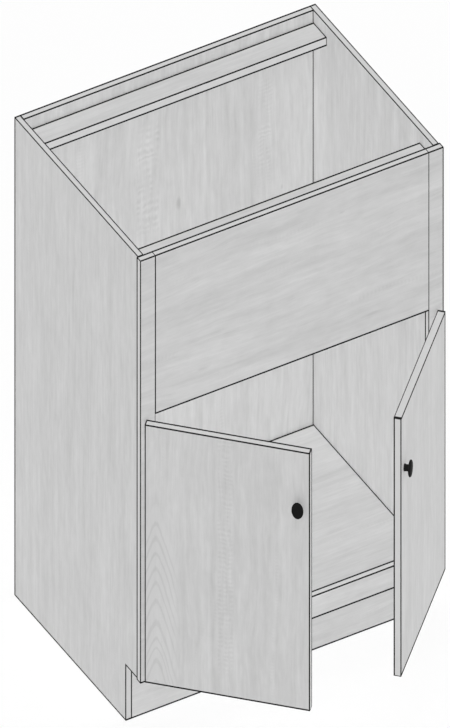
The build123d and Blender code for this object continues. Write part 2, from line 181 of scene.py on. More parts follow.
# Studio
FLOOR_SIZE = 40
FLOOR_GLOW = 1.03  # strength of the floor's own light to the eye
FLOOR_GLOW_SHARE = 0.58  # the rest of what is seen is paint, which keeps the shadow
TOP_LEVEL = 0.92  # light on level faces from all sources
SIDE_LEVEL = 0.935  # light on upright faces from all sources
HALF_SEEN = 0.5  # an upright face sees half of the surround and half of the floor
SIDE_LAMP_SHARES = (1.08, 1.0, 1.0, 0.98)
SIDE_LAMP_TURN = 22.5  # degrees from the front to the first of the four
SIDE_LAMP_REACH = 1.307  # what the four together give an upright face, as shares of one
LAMP_SPREAD = math.radians(20)
VIEW_TURN = math.radians(-30)
VIEW_RISE = math.atan(0.5)
VIEW_STRETCH = 1.4597  # how much taller than it is the view draws everything
VIEW_CENTRE = Vector((0, -0.3048, 0))  # middle of the cabinet's foot
VIEW_SHIFT = (-0.0083, 0.4037, 8.0)  # from there to the camera: right, up and back


def line_width(name, place, default):
    """A setting for how wide the core line shows beside one kind of arris."""
    return FloatProperty(
        name=name,
        description="Width of the dark core line at " + place,
        unit="LENGTH",
        min=0.0005,
        max=0.006,
        default=default,
    )


def door_lines(name, places, default):
    """A setting for how wide the core lines show at several places on a door."""
    return FloatVectorProperty(
        name=name,
        description="Width of the dark core lines at " + places,
        unit="LENGTH",
        size=len(default),
        min=0.0005,
        max=0.012,
        default=default,
    )


def tint(name, description, default):
    """A setting for a colour."""
    return FloatVectorProperty(
        name=name,
        description=description,
        subtype="COLOR",
        size=3,
        min=0,
        max=1,
        default=default,
    )


def share(name, description, default, most=1):
    """A setting for a share or a factor."""
    return FloatProperty(
        name=name,
        description=description,
        subtype="FACTOR",
        min=0,
        max=most,
        default=default,
    )


BORDER = "the hinge edge, the free edge, the foot and the head of its faces"
BANDS = (
    "its upright bands' front, rear and ends, and its level bands' front, rear and ends, "
    "in that order"
)


class CabinetFinish(bpy.types.PropertyGroup):
    """The boards' colours, the core lines' widths and the knobs' colour"""

    laminate_colour: tint(
        "Laminate colour", "Mean colour of the wood-grain laminate", (0.584, 0.584, 0.584)
    )
    grain_contrast: share(
        "Grain contrast", "How far the grain's streaks depart from the mean colour", 1.0, most=3
    )
    band_colour: tint("Edge band colour", "Colour of the boards' narrow edges", (0.62, 0.62, 0.62))
    core_colour: tint(
        "Core line colour",
        "Colour of the laminate's core where it shows at an arris",
        (0.014, 0.014, 0.014),
    )
    level_front_line: line_width("Level front line", "a level face's front arris", 0.0028)
    level_rear_line: line_width("Level rear line", "a level face's rear arris", 0.0052)
    level_left_line: line_width("Level left line", "a level face's left arris", 0.0017)
    level_right_line: line_width("Level right line", "a level face's right arris", 0.003)
    face_side_line: line_width("Face side line", "an upright arris of a front or back face", 0.0016)
    fine_line: line_width("Fine line", "joints between flush boards", 0.0011)
    face_outer_line: line_width("Face outer line", "the right stile's outer arris", 0.0032)
    corner_line: line_width("Corner line", "the back panel's ends, in the inner corners", 0.0023)
    side_front_line: line_width("Side front line", "a side face's front arris", 0.0026)
    side_rear_line: line_width("Side rear line", "a side face's rear arris", 0.0053)
    head_line: line_width("Head line", "the top arris of an upright face", 0.0014)
    foot_line: line_width("Foot line", "the bottom arris of an upright face", 0.0031)
    ground_line: line_width("Ground line", "the foot of a side or of the toe board", 0.0029)
    left_door_border: door_lines("Left door border", BORDER, (0.0028, 0.0028, 0.0028, 0.0024))
    right_door_border: door_lines("Right door border", BORDER, (0.0075, 0.0028, 0.0048, 0.003))
    left_door_bands: door_lines(
        "Left door bands", BANDS, (0.0022, 0.006, 0.002, 0.001, 0.0054, 0.001)
    )
    right_door_bands: door_lines(
        "Right door bands", BANDS, (0.0022, 0.0034, 0.0018, 0.001, 0.0022, 0.004)
    )
    arris_ease: FloatProperty(
        name="Arris ease",
        description="How much is taken off each sharp edge",
        unit="LENGTH",
        min=0.0001,
        max=0.0009,
        default=0.0004,
    )
    knob_colour: tint("Knob colour", "Colour of the knobs' coating", (0.009, 0.009, 0.009))


class CabinetStage(bpy.types.PropertyGroup):
    """The studio's floor, light and view"""

    floor_colour: tint("Floor colour", "Colour of the studio floor", (0.95, 0.95, 0.95))
    ambient: share("Ambient light", "Share of the light that comes from all round", 0.45)
    floor_return: share(
        "Light off the floor", "Share of the light that the floor throws back on the cabinet", 0.54
    )
    view_height: FloatProperty(
        name="View height",
        description="Height that the camera takes in",
        unit="LENGTH",
        min=0.5,
        max=5,
        default=1.7424,
    )


# Shader maths


class Field:
    """One output in a material. Sums, products and the like of fields add Math nodes."""

    def __init__(self, surface, socket):
        self.surface = surface
        self.socket = socket

    def math(self, operation, *others):
        values = dict(enumerate((self, *others)))
        return self.surface.node("Math", {"operation": operation}, values)

    def __add__(self, other):
        return self.math("ADD", other)

    __radd__ = __add__

    def __mul__(self, other):
        return self.math("MULTIPLY", other)

    __rmul__ = __mul__

    def __sub__(self, other):
        return self.math("SUBTRACT", other)

    def __rsub__(self, other):
        return self.surface.node("Math", {"operation": "SUBTRACT"}, {0: other, 1: self})

    def __truediv__(self, other):
        return self.math("DIVIDE", other)

    def __abs__(self):
        return self.math("ABSOLUTE")

    def sine(self):
        return self.math("SINE")

    def root(self):
        return self.math("SQRT")

    def at_least(self, other):
        return self.math("MAXIMUM", other)

    def at_most(self, other):
        return self.math("MINIMUM", other)

    def rise(self, low, high):
        """0 below low, 1 above high and smooth between."""
        values = {"Value": self, "From Min": low, "From Max": high}
        return self.surface.node("MapRange", {"interpolation_type": "SMOOTHSTEP"}, values)


class Surface:
    """The nodes of a new material, or of the world around the studio."""

    def __init__(self, name, world=False):
        self.end = "OutputWorld" if world else "OutputMaterial"
        self.owner = (bpy.data.worlds if world else bpy.data.materials).new(name)
        self.owner.use_nodes = True
        self.tree = self.owner.node_tree
        self.tree.nodes.clear()

    def node(self, kind, settings=None, values=None, output=0):
        """Any node, from its type, its settings, and the values or links of its inputs."""
        made = self.tree.nodes.new("ShaderNode" + kind)
        for name, value in (settings or {}).items():
            setattr(made, name, value)
        for name, value in (values or {}).items():
            if isinstance(value, Field):
                self.tree.links.new(value.socket, made.inputs[name])
            else:
                made.inputs[name].default_value = value
        return Field(self, made.outputs[output]) if made.outputs else None

    def axes(self, turn=0.0, origin=(0, 0, 0)):
        """The object coordinates, turned about Z and measured from origin, as three fields."""
        place = self.node("TexCoord", output="Object")
        shift = -(Matrix.Rotation(turn, 3, "Z") @ Vector(origin))
        place = self.node(
            "Mapping", values={"Vector": place, "Location": shift, "Rotation": (0, 0, turn)}
        )
        return [self.node("SeparateXYZ", values={0: place}, output=axis) for axis in range(3)]

    def noise(self, x, y, z, detail=2.0, roughness=0.5):
        """Noise from 0 to 1, with one mark to each unit of these coordinates."""
        place = self.node("CombineXYZ", values={0: x, 1: y, 2: z})
        values = {"Vector": place, "Scale": 1.0, "Detail": detail, "Roughness": roughness}
        return self.node("TexNoise", values=values)

    def even_noise(self, rate, detail=2.0, roughness=0.5):
        """Noise about 0, with as many marks to the metre along every axis."""
        x, y, z = self.axes()
        return self.noise(x * rate, y * rate, z * rate, detail, roughness) - 0.5

    def blend(self, factor, first, second):
        """A colour between two colours."""
        factor_input, first_input, second_input, colour_output = 0, 6, 7, 2
        values = {factor_input: factor, first_input: first, second_input: second}
        return self.node("Mix", {"data_type": "RGBA"}, values, colour_output)

    def shader(self, height, relief=0.0001, strength=0.3, **values):
        """A shader with its bump, from inputs given by name."""
        values = {name.replace("_", " "): value for name, value in values.items()}
        bump = {"Height": height, "Distance": relief, "Strength": strength}
        values["Normal"] = self.node("Bump", values=bump)
        return self.node("BsdfPrincipled", values=values)

    def close(self, shader):
        """Ends the nodes in this shader, and returns what they are the look of."""
        self.node(self.end, values={"Surface": shader})
        return self.owner

    def finish(self, height, **values):
        """The material, of one shader."""
        return self.close(self.shader(height, **values))


def colour(value, factor=1.0):
    """A colour for a socket, lighter or darker by this factor."""
    return (value[0] * factor, value[1] * factor, value[2] * factor, 1.0)


# Finishes


def rungs(length, pitch):
    """Bars across the grain, one to each pitch of the length."""
    return (length * (FULL_TURN / pitch)).sine()


class Grain:
    """The grain of one laminate, along Z or X, after a turn about Z."""

    def __init__(self, surface, along, turn, origin):
        self.surface = surface
        x, y, z = surface.axes(turn, origin)
        self.x, self.z = x, z
        if along == "Z":
            across, deep, length = x, y, z
        else:
            across, deep, length = z, y, x * LENGTHWISE_STRETCH
        self.straight = across
        self.across, self.deep, self.length = across, deep, length
        sway = (self.marks(4, 3.1) - 0.5) * SWAY
        self.waver = (self.marks(24, 12) - 0.5) * WAVER
        self.across = across + sway + self.waver
        self.layers = {
            name: self.marks(wide, long, detail, roughness) - 0.5
            for name, (wide, long, detail, roughness, _) in LAYERS.items()
        }
        self.pores = self.marks(1300, 80).rise(0.6, 0.72)
        self.broken = self.marks(90, 22).rise(0.35, 0.6)
        self.uneven = surface.noise(self.across * 14, deep * 14, length * 30 + 5) - 0.5

    def marks(self, wide, long, detail=2.0, roughness=0.5, shift=0):
        """Noise with so many marks to the metre across and along the grain."""
        across = self.across * wide
        if shift:
            across = across + shift
        return self.surface.noise(across, self.deep * wide, self.length * long, detail, roughness)

    def tone(self):
        """The layers together, with the pores and the faint cross figure. Its mean is about 0."""
        first, *others = [self.layers[name] * part for name, (*_, part) in LAYERS.items()]
        tone = sum(others, first) - self.pores * PORE_DEPTH
        steps = self.marks(36, 3.4, shift=7).rise(0.58, 0.72)
        bars = rungs(self.length + self.layers["bands"] * 0.012, RUNG_PITCH)
        return tone + bars * steps * self.broken * RUNG_DEPTH

    def ladder(self, tone, middle, half, low, high, pitch, depth):
        """The tone with a strip of cross figure from low to high."""
        beside = abs(self.straight + self.waver - middle).rise(half * 0.8, half * 1.15)
        foot = self.length.rise(low, low + LADDER_FADE)
        ends = foot * (1 - self.length.rise(high - LADDER_FADE, high))
        steps = (1 - beside) * ends * self.uneven.rise(-0.22, 0.0)
        bars = rungs(self.length + (self.uneven * 2 + self.layers["mottle"]) * pitch, pitch)
        return tone + bars * steps * self.broken * depth

    def seam(self, tone, middle, half, depth):
        """The tone with one long streak, darker by depth."""
        beside = abs(self.straight + self.waver * 1.5 - middle).rise(half * 0.3, half)
        return tone - (1 - beside) * depth

    def arch(self, tone, middle, high, half):
        """The tone with a stack of pointed arches, up to high."""
        aside = self.x - middle
        drop = ((aside * aside + ARCH_CROWN**2).root() - ARCH_CROWN) * ARCH_STEEPNESS
        level = self.z + drop + self.layers["clouds"] * 0.03
        spacing = (self.surface.noise(0, 3, level * 14) - 0.5) * 0.07
        level = level + spacing + self.layers["streaks"] * 0.008
        ring = rungs(level, ARCH_PITCH).rise(0.1, 1.0)
        below = 1 - level.rise(high - 0.02, high + 0.01)
        window = below * (1 - abs(aside).rise(half * 0.6, half))
        return tone * (1 - window * 0.5) - (ring - 0.3) * window * ARCH_DEPTH

    def knot(self, tone, middle, height, half_width, half_height, depth):
        """The tone with a small dark fleck."""
        aside = (self.x - middle) / half_width
        off = (self.z - height) / half_height
        spot = 1 - (aside * aside + off * off).root().rise(0.2, 1.3)
        return tone - spot * depth


def laminate(name, along="Z", turn=0.0, origin=(0, 0, 0), shade=1.0, panel=None, **figure):
    """Matt wood-grain laminate. The grain runs along Z or X, after the turn about Z.

    A panel's width, height and border widths are given where the core shows along its border. The
    figure is lists of ladders, seams, arches and knots.
    """
    look = bpy.context.scene.cabinet_finish
    surface = Surface(name)
    grain = Grain(surface, along, turn, origin)
    tone = grain.tone()
    for kind, add in (
        ("ladders", grain.ladder),
        ("seams", grain.seam),
        ("arches", grain.arch),
        ("knots", grain.knot),
    ):
        for one in figure.get(kind, ()):
            tone = add(tone, *one)
    tone = tone * look.grain_contrast
    # The factor passed in for a board scales both ends of its grain colour: above 1 it is painted
    # light and below 1 painted shade, evening out how the studio light falls on that board
    light = colour(look.laminate_colour, 1.25 * shade)
    dark = colour(look.laminate_colour, 0.75 * shade)
    wood = surface.shader(
        height=grain.layers["streaks"] * 0.6 - grain.pores,
        relief=0.00008,
        strength=0.35,
        Base_Color=surface.blend(tone * 2 + 0.5, dark, light),
        Roughness=0.52 + grain.layers["bands"] * 0.25,
        Specular_IOR_Level=0.35,
    )
    if panel:
        width, height, (hinge, free, foot, head) = panel
        inward = (abs(grain.x) - hinge).at_most(width - free - abs(grain.x))
        inward = inward.at_most(grain.z - foot).at_most(height - head - grain.z)
        inside = inward.rise(-0.0001, 0.0001)
        wood = surface.node("MixShader", values={0: inside, 1: dark_core(surface), 2: wood})
    return surface.close(wood)


def edge_band(name):
    """Plain band on a board's narrow edge, with a faint brushed grain."""
    look = bpy.context.scene.cabinet_finish
    surface = Surface(name)
    mottle = surface.even_noise(90, 3.0)
    cloud = surface.even_noise(9, 1.0)
    light = colour(look.band_colour, 1.2)
    dark = colour(look.band_colour, 0.8)
    tone = (mottle * 0.1 + cloud * 0.08) * look.grain_contrast
    return surface.finish(
        height=mottle,
        relief=0.00006,
        Base_Color=surface.blend(tone * 2 + 0.5, dark, light),
        Roughness=0.5 + mottle * 0.2,
        Specular_IOR_Level=0.35,
    )


def dark_core(surface):
    """The laminate's dark core, sanded, where it shows at an arris."""
    look = bpy.context.scene.cabinet_finish
    fleck = surface.even_noise(400)
    light = colour(look.core_colour, 1.5)
    dark = colour(look.core_colour, 0.5)
    return surface.shader(
        height=fleck,
        relief=0.00005,
        Base_Color=surface.blend(fleck * 0.8 + 0.5, dark, light),
        Roughness=0.8 + fleck * 0.2,
        Specular_IOR_Level=0.05,
    )


def core_line(name):
    """The dark core alone, on a board's borders."""
    surface = Surface(name)
    return surface.close(dark_core(surface))


def metal(name, mean, roughness, rates):
    """Plated or drawn steel, with fine marks of its making."""
    surface = Surface(name)
    x, y, z = surface.axes()
    marks = surface.noise(x * rates[0], y * rates[1], z * rates[2], 3.0, 0.6) - 0.5
    stain = surface.even_noise(60)
    light = colour(mean, 1.15)
    dark = colour(mean, 0.85)
    return surface.finish(
        height=marks,
        relief=0.00002,
        strength=0.25,
        Base_Color=surface.blend(stain * 0.9 + marks * 0.5 + 0.5, dark, light),
        Metallic=1.0,
        Roughness=roughness + marks * 0.2 + stain * 0.15,
    )


def satin_black(name):
    """The knobs' fine powder coat."""
    look = bpy.context.scene.cabinet_finish
    surface = Surface(name)
    grit = surface.even_noise(2200)
    wear = surface.even_noise(120)
    light = colour(look.knob_colour, 1.3)
    dark = colour(look.knob_colour, 0.7)
    return surface.finish(
        height=grit,
        relief=0.00003,
        strength=0.4,
        Base_Color=surface.blend(wear * 0.8 + 0.5, dark, light),
        Roughness=0.65 + wear * 0.15 + grit * 0.1,
        Specular_IOR_Level=0.04,
    )


def bumper_rubber(name):
    """The door bumpers' milky rubber, with a faint bloom."""
    surface = Surface(name)
    bloom = surface.even_noise(500)
    return surface.finish(
        height=bloom,
        relief=0.00003,
        Base_Color=surface.blend(bloom + 0.5, (0.44, 0.44, 0.45, 1), (0.56, 0.56, 0.57, 1)),
        Roughness=0.4 + bloom * 0.2,
        Coat_Weight=0.15,
    )


def beech(name):
    """The dowels' pale wood, with its flutes."""
    surface = Surface(name)
    flutes = surface.even_noise(300, 3.0)
    return surface.finish(
        height=flutes,
        relief=0.0001,
        Base_Color=surface.blend(flutes + 0.5, (0.6, 0.44, 0.27, 1), (0.78, 0.62, 0.42, 1)),
        Roughness=0.6 + flutes * 0.2,
    )


def finish_of(name, make, *settings, **more):
    """A finish, made the first time that it is asked for."""
    return bpy.data.materials.get(name) or make(name, *settings, **more)


def upright():
    return finish_of("grain_upright", laminate, **UPRIGHT_FIGURE)


def lengthwise():
    return finish_of("grain_lengthwise", laminate, along="X", **LENGTHWISE_FIGURE)


def floor_grain_painted_shade():
    # Painted shade: the floor board's laminate is made darker, against the extra light thrown on it
    # by the boards round it
    return finish_of("grain_floor", laminate, along="X", shade=0.96)


def toe_grain_painted_light():
    # Painted light: the toe board's laminate is made lighter, against the shade under the overhang
    # above it
    return finish_of("grain_toe", laminate, along="X", shade=1.05)


def edge_finish():
    return finish_of("plain_band", edge_band)


def core_finish():
    return finish_of("core_line", core_line)


# Modelling


def start_cube(low, high):
    """A cube between two corners, in edit mode."""
    bpy.ops.object.select_all(action="DESELECT")
    low, high = Vector(low), Vector(high)
    bpy.ops.mesh.primitive_cube_add(size=1, location=(low + high) / 2, scale=high - low)
    piece = bpy.context.object
    bpy.ops.object.transform_apply(location=True, rotation=True, scale=True)
    bpy.ops.object.mode_set(mode="EDIT")
    return piece


def select_faces(piece, wanted):
    """Selects the faces whose centre and normal pass."""
    bpy.ops.mesh.select_mode(type="FACE")
    bpy.ops.mesh.select_all(action="DESELECT")
    shape = bmesh.from_edit_mesh(piece.data)
    shape.normal_update()
    for face in shape.faces:
        if wanted(face.calc_center_median(), face.normal):
            face.select_set(True)
    bmesh.update_edit_mesh(piece.data)


def give(piece, index):
    """Gives the selected faces the finish at this place in the piece's list."""
    piece.active_material_index = index
    bpy.ops.object.material_slot_assign()


def finishes(piece, *materials):
    """Lists the finishes that a piece's faces may have."""
    for material in materials:
        piece.data.materials.append(material)


def ease():
    """Takes the sharpness off the selected arrises."""
    look = bpy.context.scene.cabinet_finish
    bpy.ops.mesh.bevel(offset=look.arris_ease, segments=EASE_STEPS, affect="EDGES")


def settle(piece, name, body, node):
    """Names a finished piece, hides the CAD node that it stands for, and puts it on the body it
    rides on.
    """
    bpy.ops.object.mode_set(mode="OBJECT")
    piece.name = piece.data.name = name
    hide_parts(node)
    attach(piece, body)


def line_the_edges(piece, wide_axis, **own):
    """Gives a board its faces, its banded edges and the core line beside every arris."""
    look = bpy.context.scene.cabinet_finish
    select_faces(piece, lambda centre, normal: abs(normal[wide_axis]) < FACING)
    give(piece, EDGE)
    bpy.ops.mesh.select_all(action="SELECT")
    bpy.ops.mesh.inset(thickness=FIRST_LINE, use_individual=True)
    bpy.ops.mesh.select_all(action="INVERT")
    give(piece, CORE)
    common = {
        "face_left_line": look.face_side_line,
        "face_right_line": look.face_side_line,
        "face_foot_line": look.foot_line,
        "face_head_line": look.head_line,
        "side_foot_line": look.ground_line,
        "side_head_line": look.head_line,
    }
    for name, (facing, across, side) in LINES.items():
        width = own.get(name) or common.get(name) or getattr(look, name)
        move_line(piece, facing, across, side, width, CORE)
    bpy.ops.mesh.select_all(action="DESELECT")
    bpy.ops.mesh.select_mode(type="EDGE")
    bpy.ops.mesh.edges_select_sharp(sharpness=SHARP)
    ease()


def move_line(piece, facing, across, side, width, core):
    """Moves the light faces' edges on one side, so that the core line there has this width."""
    bpy.ops.mesh.select_mode(type="VERT")
    bpy.ops.mesh.select_all(action="DESELECT")
    shape = bmesh.from_edit_mesh(piece.data)
    for face in shape.faces:
        if face.material_index == core or abs(face.normal[facing]) < FACING:
            continue
        for corner in face.verts:
            for edge in corner.link_edges:
                outer = edge.other_vert(corner)
                if edge not in face.edges and (corner.co - outer.co)[across] * side > 0:
                    corner.select_set(True)
    bmesh.update_edit_mesh(piece.data)
    move = [0, 0, 0]
    move[across] = side * (width - FIRST_LINE)
    bpy.ops.transform.translate(value=move)


def board(node, face, wide_axis, slot, **own):
    """A laminated board in a CAD node's place, with core lines of its own width where given."""
    low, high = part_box(node)
    piece = start_cube(low, high)
    finishes(piece, face, edge_finish(), core_finish())
    line_the_edges(piece, wide_axis, **own)
    settle(piece, node + "_board", "cabinet", node)


def side_panel(hand):
    """A side with its foot cut back for the toe space."""
    look = bpy.context.scene.cabinet_finish
    node = f"{hand}_side_panel"
    low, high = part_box(node)
    toe_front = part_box("toe_kick_board")[0].y
    toe_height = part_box("floor_panel")[0].z
    piece = start_cube((low.x, toe_front, low.z), high)
    bpy.ops.mesh.select_all(action="SELECT")
    bpy.ops.mesh.bisect(plane_co=(0, 0, toe_height), plane_no=(0, 0, 1))
    select_faces(piece, lambda centre, normal: normal.y < -FACING and centre.z > toe_height)
    reach = (0, low.y - toe_front, 0)
    bpy.ops.mesh.extrude_region_move(TRANSFORM_OT_translate={"value": reach})
    bpy.ops.mesh.select_all(action="SELECT")
    bpy.ops.mesh.dissolve_limited(angle_limit=math.radians(1))
    bpy.ops.mesh.select_all(action="SELECT")
    bpy.ops.mesh.normals_make_consistent(inside=False)
    finishes(piece, upright(), edge_finish(), core_finish())
    line_the_edges(piece, 0, level_front_line=look.fine_line)
    settle(piece, node + "_board", "cabinet", node)


def door_turn(door):
    """The turn about Z that takes a shut door to where it stands, and the point it turns on."""
    joint = JOINTS[door]
    return joint["axis"][2] * math.radians(-joint["range_deg"][0]), Vector(joint["pos_m"])


def turned_about(pin, angle):
    """A turn about an upright line through the pin."""
    return Matrix.Translation(pin) @ Matrix.Rotation(angle, 4, "Z") @ Matrix.Translation(-pin)


def stand_open(piece, door):
    """Turns a piece that was made on the shut door to where the door stands."""
    angle, pin = door_turn(door)
    bpy.ops.object.mode_set(mode="OBJECT")
    piece.matrix_world = turned_about(pin, angle)
    bpy.ops.object.select_all(action="DESELECT")
    piece.select_set(True)
    bpy.context.view_layer.objects.active = piece
    bpy.ops.object.transform_apply(location=True, rotation=True, scale=True)


def shut_box(node, door):
    """The corners of a door's node, with the door shut."""
    angle, pin = door_turn(door)
    back = turned_about(pin, -angle)
    points = [back @ vertex.co for vertex in NODES[node].data.vertices]
    low = Vector(min(point[axis] for point in points) for axis in range(3))
    high = Vector(max(point[axis] for point in points) for axis in range(3))
    return low, high


def door_face(door):
    """A door's laminate, set out from its hinge corner and turned with it, with its core lines."""
    angle, pin = door_turn(door)
    low, high = shut_box(door + "_edge_bands", door)
    hinge_edge = Vector((low.x if door == "left_door" else high.x, low.y, low.z))
    corner = pin + Matrix.Rotation(angle, 3, "Z") @ (hinge_edge - pin)
    border = getattr(bpy.context.scene.cabinet_finish, door + "_border")
    panel = (high.x - low.x, high.z - low.z, border)
    return laminate(f"grain_{door}", "Z", -angle, corner, panel=panel, **DOOR_FIGURES[door])


def band_strip(low, high, axis, way, widths):
    """One edge band: a plain outer face between core lines of these widths: front, rear, ends."""
    piece = start_cube(low, high)
    finishes(piece, edge_finish(), core_finish())
    bpy.ops.mesh.select_all(action="SELECT")
    give(piece, BAND_CORE)
    select_faces(piece, lambda centre, normal: normal[axis] * way > FACING)
    bpy.ops.mesh.inset(thickness=FIRST_LINE)
    give(piece, BAND)
    front, rear, ends = widths
    for across, side, width in (
        (1, 1, front),
        (1, -1, rear),
        (2 - axis, 1, ends),
        (2 - axis, -1, ends),
    ):
        move_line(piece, axis, across, side, width, BAND_CORE)
    bpy.ops.mesh.select_all(action="DESELECT")
    bpy.ops.mesh.select_mode(type="EDGE")
    shape = bmesh.from_edit_mesh(piece.data)
    outer = high[axis] if way > 0 else low[axis]
    for edge in shape.edges:
        level = all(abs(vertex.co[axis] - outer) < 1e-6 for vertex in edge.verts)
        if level and edge.calc_face_angle(0.0) > SHARP:
            edge.select_set(True)
    bmesh.update_edit_mesh(piece.data)
    ease()
    bpy.ops.object.mode_set(mode="OBJECT")
    return piece


def door_bands(door):
    """The bands round a door: two long ones down its edges and two short ones between them."""
    look = bpy.context.scene.cabinet_finish
    node = door + "_edge_bands"
    low, high = shut_box(node, door)
    band = shut_box(door + "_panel", door)[0].x - low.x
    left, right = low.x + band, high.x - band
    lines = getattr(look, door + "_bands")
    strips = [
        band_strip(low, (left, high.y, high.z), 0, -1, lines[:3]),
        band_strip((right, low.y, low.z), high, 0, 1, lines[:3]),
        band_strip((left, low.y, low.z), (right, high.y, low.z + band), 2, -1, lines[3:]),
        band_strip((left, low.y, high.z - band), (right, high.y, high.z), 2, 1, lines[3:]),
    ]
    bpy.ops.object.select_all(action="DESELECT")
    for strip in strips:
        strip.select_set(True)
    bpy.context.view_layer.objects.active = strips[0]
    bpy.ops.object.join()
    piece = bpy.context.object
    stand_open(piece, door)
    settle(piece, door + "_banding", door, node)


def turned_knob(door):
    """A knob turned from a round foot: waist, flare, rounded head and a low dome."""
    node = door.replace("_door", "") + "_knob"
    low, high = shut_box(node, door)
    middle = (low + high) / 2
    radius = (high.z - low.z) / 2
    reach = high.y - low.y
    bpy.ops.object.select_all(action="DESELECT")
    bpy.ops.mesh.primitive_circle_add(
        vertices=KNOB_SIDES,
        radius=radius * KNOB_FOOT,
        fill_type="NGON",
        location=(middle.x, high.y, middle.z),
        rotation=(math.pi / 2, 0, 0),
    )
    piece = bpy.context.object
    bpy.ops.object.transform_apply(location=True, rotation=True, scale=True)
    bpy.ops.object.mode_set(mode="EDIT")
    bpy.ops.mesh.select_all(action="SELECT")
    last, at = KNOB_FOOT, 0.0
    for size, out in KNOB_PROFILE:
        if out > at:
            move = (0, -(out - at) * reach, 0)
            bpy.ops.mesh.extrude_region_move(TRANSFORM_OT_translate={"value": move})
        bpy.ops.transform.resize(value=(size / last, 1, size / last))
        last, at = size, out
    bpy.ops.mesh.poke(offset=0)
    bpy.ops.mesh.select_all(action="SELECT")
    bpy.ops.mesh.normals_make_consistent(inside=False)
    finishes(piece, finish_of("satin_black", satin_black))
    stand_open(piece, door)
    bpy.ops.object.shade_smooth_by_angle(angle=math.radians(35))
    settle(piece, node + "_turned", door, node)


def coat(node, material):
    """A better finish on a CAD node that keeps its shape."""
    for slot in NODES[node].material_slots:
        slot.material = material


# Operators, one for each piece or group of like pieces


class CABINET_OT_side_panels(bpy.types.Operator):
    """Make both sides of the carcass"""

    bl_idname = "cabinet.side_panels"
    bl_label = "Side panels"

    def execute(self, context):
        for hand in HANDS:
            side_panel(hand)
        return {"FINISHED"}


class CABINET_OT_inner_panels(bpy.types.Operator):
    """Make the back, the floor and the toe-kick board"""

    bl_idname = "cabinet.inner_panels"
    bl_label = "Back, floor and toe board"

    def execute(self, context):
        look = context.scene.cabinet_finish
        ends = {
            "face_left_line": look.corner_line,
            "face_right_line": look.corner_line,
            "level_left_line": look.fine_line,
            "level_right_line": look.fine_line,
        }
        foot = {"face_foot_line": look.ground_line}
        board("back_panel", upright(), 1, "laminate_upright", **ends)
        board("floor_panel", floor_grain_painted_shade(), 2, "laminate_lengthwise")
        board("toe_kick_board", toe_grain_painted_light(), 1, "laminate_lengthwise", **foot)
        return {"FINISHED"}


class CABINET_OT_stretchers(bpy.types.Operator):
    """Make the front and rear stretchers under the worktop"""

    bl_idname = "cabinet.stretchers"
    bl_label = "Stretchers"

    def execute(self, context):
        for node in ("front_stretcher", "rear_stretcher"):
            board(node, lengthwise(), 2, "laminate_lengthwise")
        return {"FINISHED"}


class CABINET_OT_face_frame(bpy.types.Operator):
    """Make the stiles, the bottom rail and the false front"""

    bl_idname = "cabinet.face_frame"
    bl_label = "Face frame"

    def execute(self, context):
        look = context.scene.cabinet_finish
        fine = look.fine_line
        own = {
            "left_stile": {"level_right_line": fine},
            "right_stile": {
                "level_left_line": fine,
                "face_left_line": fine,
                "face_right_line": look.face_outer_line,
            },
            "bottom_rail": {},
            "false_front_panel": {
                "level_left_line": fine,
                "level_right_line": fine,
                "face_right_line": fine,
            },
        }
        for node, lines in own.items():
            board(node, lengthwise(), 1, "laminate_lengthwise", **lines)
        return {"FINISHED"}


class CABINET_OT_doors(bpy.types.Operator):
    """Finish the doors and put on their edge bands"""

    bl_idname = "cabinet.doors"
    bl_label = "Doors"

    def execute(self, context):
        for door in DOORS:
            coat(door + "_panel", door_face(door))
            door_bands(door)
        return {"FINISHED"}


class CABINET_OT_knobs(bpy.types.Operator):
    """Turn the two knobs"""

    bl_idname = "cabinet.knobs"
    bl_label = "Knobs"

    def execute(self, context):
        for door in DOORS:
            turned_knob(door)
        return {"FINISHED"}


class CABINET_OT_hinges(bpy.types.Operator):
    """Finish the hinges, their pins, all the screws and the bumpers"""

    bl_idname = "cabinet.hinges"
    bl_label = "Hinges and fixings"

    def execute(self, context):
        nickel = metal("nickel_plate", *NICKEL)
        drawn = metal("drawn_steel", *DRAWN_STEEL)
        zinc = metal("zinc_plate", *ZINC)
        rubber = bumper_rubber("clear_rubber")
        for hand in HANDS:
            for level in ("upper", "lower"):
                coat(f"{hand}_{level}_hinge_cup", nickel)
                coat(f"{hand}_{level}_hinge_arm", nickel)
                coat(f"{hand}_{level}_hinge_pin", drawn)
            for screws in ("hinge_cup_screws", "hinge_arm_screws", "knob_screw"):
                coat(f"{hand}_{screws}", zinc)
            coat(f"{hand}_door_bumpers", rubber)
        return {"FINISHED"}


class CABINET_OT_dowels(bpy.types.Operator):
    """Finish the dowels inside the joints"""

    bl_idname = "cabinet.dowels"
    bl_label = "Dowels"

    def execute(self, context):
        wood = beech("beech")
        for node in ("carcass_dowels", "frame_dowels"):
            coat(node, wood)
        return {"FINISHED"}


class CABINET_OT_studio(bpy.types.Operator):
    """Set up the floor, the light and the camera"""

    bl_idname = "cabinet.studio"
    bl_label = "Studio"

    def execute(self, context):
        stage = context.scene.cabinet_stage
        studio_floor(stage)
        studio_light(stage)
        studio_camera(stage)
        context.scene.view_settings.view_transform = "Standard"
        return {"FINISHED"}


# Studio


def seen_directly(surface):
    """1 for what the camera sees, straight or in a gloss or glass, and 0 for the light."""
    flags = [
        surface.node("LightPath", output=name)
        for name in ("Is Camera Ray", "Is Glossy Ray", "Is Transmission Ray")
    ]
    return flags[0].at_least(flags[1]).at_least(flags[2])


